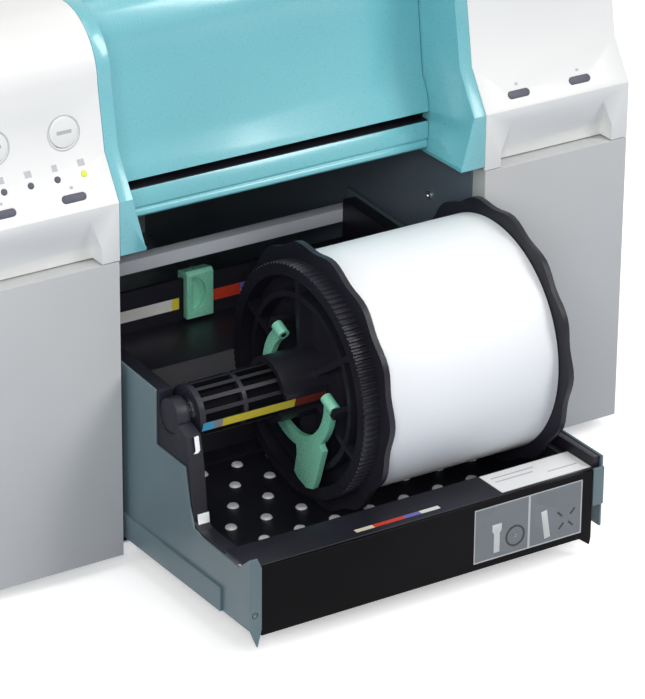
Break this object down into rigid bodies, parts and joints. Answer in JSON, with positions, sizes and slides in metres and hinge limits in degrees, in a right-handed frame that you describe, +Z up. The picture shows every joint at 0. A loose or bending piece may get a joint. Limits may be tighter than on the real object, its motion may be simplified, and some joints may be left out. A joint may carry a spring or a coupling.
{
  "type": "roll-fed photo printer",
  "caption": "Compact roll-fed photo printer with two white towers, a teal centre cover and a pulled-out paper drawer holding a roll on a spindle with a sliding flange.",
  "frame": {"origin": "centre of the footprint on the table, with the drawer pulled out", "axes": "+X to the right as seen from the front, +Y to the back, +Z up; the drawer opens towards -Y"},
  "size_m": [0.49, 0.572, 0.354],
  "materials": {
    "white_cover": "satin moulded",
    "grey_cover": "fine textured",
    "teal_cover": "satin moulded",
    "button_white": "smooth",
    "lamp_lens": "polished",
    "slate_steel": "satin paint",
    "zinc_steel": "zinc plated sheet",
    "bright_steel": "ground",
    "motor_case": "satin",
    "black_plastic": "moulded",
    "mint_plastic": "moulded",
    "roller_rubber": "ground",
    "gear_plastic": "moulded",
    "pulley_metal": "turned",
    "board": "solder mask",
    "photo_paper": "coated paper"
  },
  "bodies": {
    "cabinet": {"base_pan": "zinc_steel", "rubber_feet": "roller_rubber", "left_side_cover": "grey_cover", "right_side_cover": "grey_cover", "rear_cover": "grey_cover", "left_tower_cover": "white_cover", "right_tower_cover": "white_cover", "centre_bezel": "teal_cover", "exit_lip": "teal_cover", "inner_frames": "slate_steel", "print_deck": "zinc_steel", "platen": "black_plastic", "roller_brackets": "zinc_steel", "carriage_rail": "bright_steel", "carriage_belt": "roller_rubber", "carriage_motor": "motor_case", "capping_station": "black_plastic", "main_board": "board", "power_supply": "zinc_steel", "power_inlet": "black_plastic", "fan_frame": "black_plastic", "cartridge_bays": "black_plastic", "ink_cartridges": "black_plastic", "ink_lamps": "lamp_lens", "status_lamps": "lamp_lens", "control_board": "board", "door_hinges": "zinc_steel", "slide_rails": "zinc_steel", "paper_guide": "black_plastic", "feed_motor": "motor_case"},
    "power_button": {"power_button": "button_white"},
    "pause_button": {"pause_button": "button_white"},
    "left_ink_door": {"left_ink_door": "grey_cover"},
    "right_ink_door": {"right_ink_door": "grey_cover"},
    "top_cover": {"top_cover": "teal_cover"},
    "carriage": {"carriage": "black_plastic"},
    "drive_pulley": {"drive_pulley": "pulley_metal"},
    "idler_pulley": {"idler_pulley": "pulley_metal"},
    "feed_roller": {"feed_roller": "roller_rubber"},
    "feed_pinion": {"feed_pinion": "gear_plastic"},
    "pinch_rollers": {"pinch_rollers": "roller_rubber"},
    "exit_roller": {"exit_roller": "roller_rubber"},
    "fan_rotor": {"fan_rotor": "black_plastic"},
    "drawer": {"drawer_left_plate": "slate_steel", "drawer_right_plate": "slate_steel", "drawer_tray": "black_plastic", "drawer_front": "black_plastic", "left_cradle": "black_plastic", "right_cradle": "black_plastic", "rear_crossbar": "zinc_steel", "feed_guide": "black_plastic", "drawer_runners": "zinc_steel", "tray_studs": "bright_steel"},
    "edge_guide": {"edge_guide": "mint_plastic"},
    "spindle": {"spindle_shaft": "bright_steel", "spindle_core": "black_plastic", "fixed_flange": "black_plastic", "paper_roll": "photo_paper"},
    "sliding_flange": {"sliding_flange": "black_plastic"},
    "lock_lever": {"lock_lever": "mint_plastic"}
  },
  "joints": [
    {"name": "drawer_slide", "type": "slide", "parent": "cabinet", "child": "drawer", "axis": [0, 1, 0], "range_m": [0, 0.142]},
    {"name": "spindle_spin", "type": "hinge", "parent": "drawer", "child": "spindle", "pos_m": [0, -0.19, 0.122], "axis": [1, 0, 0], "continuous": true},
    {"name": "flange_slide", "type": "slide", "parent": "spindle", "child": "sliding_flange", "axis": [1, 0, 0], "range_m": [-0.03, 0]},
    {"name": "lever_release", "type": "hinge", "parent": "sliding_flange", "child": "lock_lever", "pos_m": [-0.0387, -0.19856, 0.13986], "axis": [0, 0.9018, 0.4321], "range_deg": [0, 25]},
    {"name": "edge_guide_slide", "type": "slide", "parent": "drawer", "child": "edge_guide", "axis": [1, 0, 0], "range_m": [-0.1, 0.09]},
    {"name": "left_door_swing", "type": "hinge", "parent": "cabinet", "child": "left_ink_door", "pos_m": [-0.18925, -0.138, 0.014], "axis": [1, 0, 0], "range_deg": [0, 85]},
    {"name": "right_door_swing", "type": "hinge", "parent": "cabinet", "child": "right_ink_door", "pos_m": [0.18925, -0.138, 0.014], "axis": [1, 0, 0], "range_deg": [0, 85]},
    {"name": "power_press", "type": "slide", "parent": "cabinet", "child": "power_button", "axis": [0, 0.9857, -0.1683], "range_m": [0, 0.0015], "stiffness_N_per_m": 600},
    {"name": "pause_press", "type": "slide", "parent": "cabinet", "child": "pause_button", "axis": [0, 0.9857, -0.1683], "range_m": [0, 0.0015], "stiffness_N_per_m": 600},
    {"name": "cover_swing", "type": "hinge", "parent": "cabinet", "child": "top_cover", "pos_m": [0, 0.114, 0.343], "axis": [-1, 0, 0], "range_deg": [0, 65]},
    {"name": "carriage_travel", "type": "slide", "parent": "cabinet", "child": "carriage", "axis": [1, 0, 0], "range_m": [-0.33, 0]},
    {"name": "drive_pulley_spin", "type": "hinge", "parent": "cabinet", "child": "drive_pulley", "pos_m": [-0.2105, 0.099, 0.302], "axis": [0, 1, 0], "range_deg": [0, 1895]},
    {"name": "idler_pulley_spin", "type": "hinge", "parent": "cabinet", "child": "idler_pulley", "pos_m": [0.2105, 0.099, 0.302], "axis": [0, 1, 0], "range_deg": [0, 1895]},
    {"name": "feed_roller_spin", "type": "hinge", "parent": "cabinet", "child": "feed_roller", "pos_m": [0, 0.096, 0.224], "axis": [1, 0, 0], "continuous": true},
    {"name": "feed_pinion_spin", "type": "hinge", "parent": "cabinet", "child": "feed_pinion", "pos_m": [0.125, 0.10563, 0.23363], "axis": [1, 0, 0], "continuous": true},
    {"name": "pinch_spin", "type": "hinge", "parent": "cabinet", "child": "pinch_rollers", "pos_m": [0, 0.096, 0.2388], "axis": [1, 0, 0], "continuous": true},
    {"name": "exit_roller_spin", "type": "hinge", "parent": "cabinet", "child": "exit_roller", "pos_m": [0, -0.054, 0.224], "axis": [1, 0, 0], "continuous": true},
    {"name": "fan_spin", "type": "hinge", "parent": "cabinet", "child": "fan_rotor", "pos_m": [0.18925, 0.2715, 0.13], "axis": [0, 1, 0], "continuous": true}
  ],
  "couplings": [
    {"joint": "drive_pulley_spin", "follows": "carriage_travel", "rad_per_m": -100},
    {"joint": "idler_pulley_spin", "follows": "carriage_travel", "rad_per_m": -100},
    {"joint": "feed_pinion_spin", "follows": "feed_roller_spin", "ratio": -2},
    {"joint": "pinch_spin", "follows": "feed_roller_spin", "ratio": -1.4167},
    {"joint": "exit_roller_spin", "follows": "feed_roller_spin", "ratio": 1}
  ]
}
